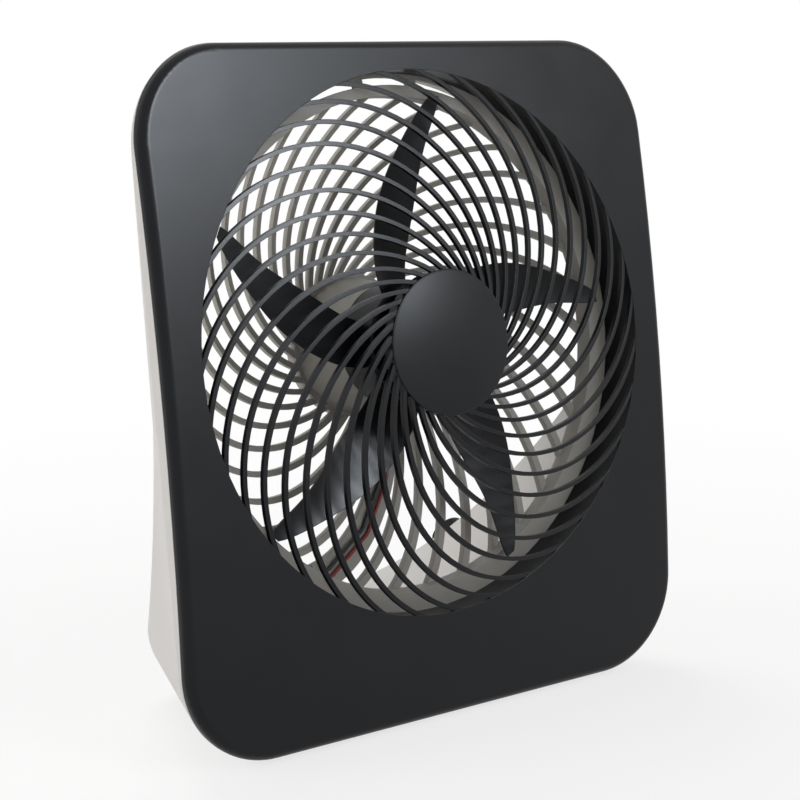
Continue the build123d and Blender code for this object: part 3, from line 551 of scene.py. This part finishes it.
# Numbers and dots round the knob
dial = {
    "numbers": "012",
    "reach": 0.0152,
    "height": 0.0034,
    "dotReach": 0.0121,
    "dotRadius": 0.0005,
    "dotSides": 24,
    "skin": 0.00012,
}
knobPlace = Vector(joints["knob_turn"]["pos_m"])
knobOut = -Vector(joints["knob_turn"]["axis"]).normalized()
knobDown = knobOut.cross(rightward)
turnRange = math.radians(joints["knob_turn"]["range_deg"][1])
faceTurn = Matrix((Vector((-1.0, 0.0, 0.0)), -knobDown, knobOut)).transposed().to_euler()
marks = []
for index, figure in enumerate(dial["numbers"]):
    turn = turnRange * index / (len(dial["numbers"]) - 1)
    outward = knobDown * math.cos(turn) + rightward * math.sin(turn)
    dropSelection()
    bpy.ops.object.text_add(location=knobPlace + outward * dial["reach"], rotation=faceTurn)
    mark = bpy.context.object
    mark.data.body = figure
    mark.data.size = dial["height"]
    mark.data.align_x = "CENTER"
    mark.data.align_y = "CENTER"
    mark.data.extrude = dial["skin"]
    bpy.ops.object.convert(target="MESH")
    marks.append(bpy.context.object)
    dotPlace = knobPlace + outward * dial["dotReach"]
    dot = addCylinder(dial["dotSides"], dial["dotRadius"], 2 * dial["skin"], dotPlace, turnedTo(knobOut))
    marks.append(dot)
settle(joined(marks), "dialMarks", "housing", "charcoal_plastic")

# Pale line in the knob's pointer groove
pointer = {"length": 0.0052, "width": 0.0011, "skin": 0.0002, "lift": 0.0071, "reach": 0.005}
pointerSize = (pointer["width"], pointer["length"], pointer["skin"])
pointerPlace = knobPlace + knobOut * pointer["lift"] + knobDown * pointer["reach"]
line = addBlock(pointerSize, pointerPlace, faceTurn)
settle(line, "pointerLine", "knob", "grey_plastic")
print("dial marked")

# Panel screws with a cross recess, standing for the plain ones
screw = {
    "head": 0.0030,
    "headHeight": 0.0020,
    "headSides": 48,
    "edge": 0.0007,
    "edgeSteps": 5,
    "shank": 0.00148,
    "shankSides": 32,
    "slot": 0.0009,
    "cross": 0.0036,
    "deep": 0.0012,
}
screwLow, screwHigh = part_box("panel_screws")
screwTurn = turnedTo(rearward)
seat = screwHigh.y - screw["headHeight"]
shankEnd = seat + screw["edge"] / 2
slotSize = (screw["slot"], 2 * screw["deep"], screw["cross"])
screwPieces = []
for side in (-1, 1):
    middle = Vector((side * (screwHigh.x - screw["head"]), 0.0, (screwLow.z + screwHigh.z) / 2))
    headPlace = middle + rearward * (seat + screw["headHeight"] / 2)
    head = addCylinder(screw["headSides"], screw["head"], screw["headHeight"], headPlace, screwTurn)
    roundRim(head, facesOut, screw["edge"], screw["edgeSteps"])
    for turn in (0.0, math.pi / 2):
        cutter = addBlock(slotSize, middle + rearward * screwHigh.y, (0, turn, 0))
        bpy.context.view_layer.objects.active = head
        cut = head.modifiers.new("recess", "BOOLEAN")
        cut.object = cutter
        cut.operation = "DIFFERENCE"
        bpy.ops.object.modifier_apply(modifier=cut.name)
        bpy.data.objects.remove(cutter)
    shankPlace = middle + rearward * (shankEnd + screwLow.y) / 2
    shank = addCylinder(screw["shankSides"], screw["shank"], shankEnd - screwLow.y, shankPlace, screwTurn)
    screwPieces += [head, shank]
screws = joined(screwPieces)
settle(screws, "panelScrews", "housing", "steel")
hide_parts("panel_screws")
print("screws made")

# Rubber feet with a rounded edge and a moulded ring
foot = {"sides": 64, "edge": 0.0005, "edgeSteps": 4, "margin": 0.0011, "ring": 0.0007, "sink": 0.0004}


def isSole(face):
    # The many-sided face underneath, inside the bevel
    return facesDown(face) and len(face.vertices) == foot["sides"]


for corner in ("front_left", "front_right", "rear_left", "rear_right"):
    nodeName = "foot_" + corner
    footLow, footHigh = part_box(nodeName)
    footRadius = (footHigh.x - footLow.x) / 2
    pad = addCylinder(foot["sides"], footRadius, footHigh.z - footLow.z, (footLow + footHigh) / 2)
    roundRim(pad, facesDown, foot["edge"], foot["edgeSteps"])
    pickFaces(pad, isSole)
    bpy.ops.mesh.inset(thickness=foot["margin"])
    bpy.ops.mesh.inset(thickness=foot["sink"], depth=-foot["sink"])
    bpy.ops.mesh.inset(thickness=foot["ring"])
    bpy.ops.mesh.inset(thickness=foot["sink"], depth=foot["sink"])
    bpy.ops.object.mode_set(mode="OBJECT")
    settle(pad, "pad" + corner.title().replace("_", ""), "housing", "foot_rubber")
    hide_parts(nodeName)
print("feet made")

# Brass sleeve on the inlet's pin
pin = {"sides": 32, "radius": 0.00106, "length": 0.0085, "front": 0.0010, "edge": 0.0003, "edgeSteps": 3}
inlet = next(mount for mount in frame["record"]["mounts"] if mount["name"] == "adapter_inlet")
inletOut = Vector(inlet["axis"]).normalized()
sleevePlace = Vector(inlet["pos_m"]) + inletOut * (pin["front"] - pin["length"] / 2)
sleeve = addCylinder(pin["sides"], pin["radius"], pin["length"], sleevePlace, turnedTo(inletOut))
roundRim(sleeve, facesOut, pin["edge"], pin["edgeSteps"])
settle(sleeve, "inletPin", "housing", "brass")

# Raised arrow on the battery door that shows which way it slides
arrow = {"sides": 3, "radius": 0.0055, "skin": 0.0003, "back": 0.030}
doorLow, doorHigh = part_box("battery_door")
arrowPlace = (0.0, doorHigh.y - arrow["back"], doorLow.z)
slideArrow = addCylinder(arrow["sides"], arrow["radius"], 2 * arrow["skin"], arrowPlace)
settle(slideArrow, "doorArrow", "door", "grey_plastic")
print("inlet pin and door arrow made")

# Camera at the photograph's angle
cameraSetup = {
    "place": (-0.5680, -0.7553, 0.3239),
    "forward": (0.59717, 0.78021, -0.18617),
    "lens": 89.56,
    "sensor": 36.0,
}


def aimedAlong(direction):
    # The turn of a camera or lamp that looks that way
    return Vector(direction).to_track_quat("-Z", "Y").to_euler()


dropSelection()
bpy.ops.object.camera_add(location=cameraSetup["place"])
camera = bpy.context.object
camera.rotation_euler = aimedAlong(cameraSetup["forward"])
camera.data.lens = cameraSetup["lens"]
camera.data.sensor_width = cameraSetup["sensor"]
scene.camera = camera
print("camera placed")


def seenOrMirrored(tree):
    # 1 for what the camera sees directly, in a reflection or through glass
    path = tree.nodes.new("ShaderNodeLightPath")
    found = path.outputs["Is Camera Ray"]
    for ray in ("Is Glossy Ray", "Is Transmission Ray"):
        found = calculate(tree, "MAXIMUM", found, path.outputs[ray])
    return found


# Pale floor: white to the eye further out, with the object's soft shadow kept near it
floorSetup = {
    "size": 8.0,
    "colour": (0.86, 0.86, 0.86, 1.0),
    "roughness": 0.9,
    "glow": 1.0,
    "whiteShare": (0.72, 1.0),
    "shadowReach": (0.2, 0.75),
}
dropSelection()
bpy.ops.mesh.primitive_plane_add(size=floorSetup["size"], location=(0, 0, 0))
floor = bpy.context.object
floor.name = "studioFloor"
floorMaterial, floorTree, floorShader = newMaterial("paleFloor")
floorShader.inputs["Base Color"].default_value = floorSetup["colour"]
floorShader.inputs["Roughness"].default_value = floorSetup["roughness"]
glow = addNode(floorTree, "ShaderNodeEmission", Strength=floorSetup["glow"])
reach = floorTree.nodes.new("ShaderNodeVectorMath")
reach.operation = "LENGTH"
floorTree.links.new(objectCoords(floorTree), reach.inputs[0])
whiteness = spread(floorTree, reach.outputs["Value"], *floorSetup["whiteShare"], *floorSetup["shadowReach"])
share = calculate(floorTree, "MULTIPLY", seenOrMirrored(floorTree), whiteness)
floorMix = floorTree.nodes.new("ShaderNodeMixShader")
floorTree.links.new(share, floorMix.inputs["Fac"])
floorTree.links.new(floorShader.outputs["BSDF"], floorMix.inputs[1])
floorTree.links.new(glow.outputs["Emission"], floorMix.inputs[2])
floorTree.links.new(floorMix.outputs["Shader"], floorTree.nodes["Material Output"].inputs["Surface"])
floor.data.materials.append(floorMaterial)

# World: white where it is seen or mirrored, a softer level for the light it gives
worldSetup = {"colour": (1.0, 1.0, 1.0, 1.0), "light": 0.42, "seen": 1.0}
world = bpy.data.worlds.new("studioWorld")
scene.world = world
world.use_nodes = True
worldTree = world.node_tree
backdrop = worldTree.nodes["Background"]
backdrop.inputs["Color"].default_value = worldSetup["colour"]
level = spread(worldTree, seenOrMirrored(worldTree), worldSetup["light"], worldSetup["seen"])
worldTree.links.new(level, backdrop.inputs["Strength"])

# Softboxes: three light the object without a reflection, and one shows only as a reflection
warmWhite = (1.0, 0.985, 0.965)
coolWhite = (0.87, 0.93, 1.0)
softboxes = {
    "sideLeft": {
        "place": (-1.5, 0.35, 0.7),
        "aim": (-0.1, 0.0, 0.12),
        "size": (1.0, 1.0),
        "power": 10.5,
        "tint": warmWhite,
        "mirroredOnly": False,
    },
    "panelSheen": {
        "place": (0.50, -1.45, 1.02),
        "aim": (-0.1, -0.03, 0.25),
        "size": (0.38, 0.55),
        "power": 43.0,
        "tint": coolWhite,
        "mirroredOnly": True,
    },
    "frontFill": {
        "place": (0.5, -1.5, 1.0),
        "aim": (0.0, 0.0, 0.17),
        "size": (1.2, 1.2),
        "power": 9.0,
        "tint": warmWhite,
        "mirroredOnly": False,
    },
    "topBack": {
        "place": (0.2, 0.9, 1.5),
        "aim": (0.0, 0.0, 0.15),
        "size": (1.0, 1.0),
        "power": 11.0,
        "tint": warmWhite,
        "mirroredOnly": False,
    },
}
for name, softbox in softboxes.items():
    bpy.ops.object.light_add(type="AREA", location=softbox["place"])
    lamp = bpy.context.object
    lamp.name = name
    lamp.data.shape = "RECTANGLE"
    lamp.data.size, lamp.data.size_y = softbox["size"]
    lamp.data.energy = softbox["power"]
    lamp.data.color = softbox["tint"]
    lamp.visible_diffuse = not softbox["mirroredOnly"]
    lamp.visible_glossy = softbox["mirroredOnly"]
    lamp.rotation_euler = aimedAlong(Vector(softbox["aim"]) - Vector(softbox["place"]))
print("floor and lights placed")
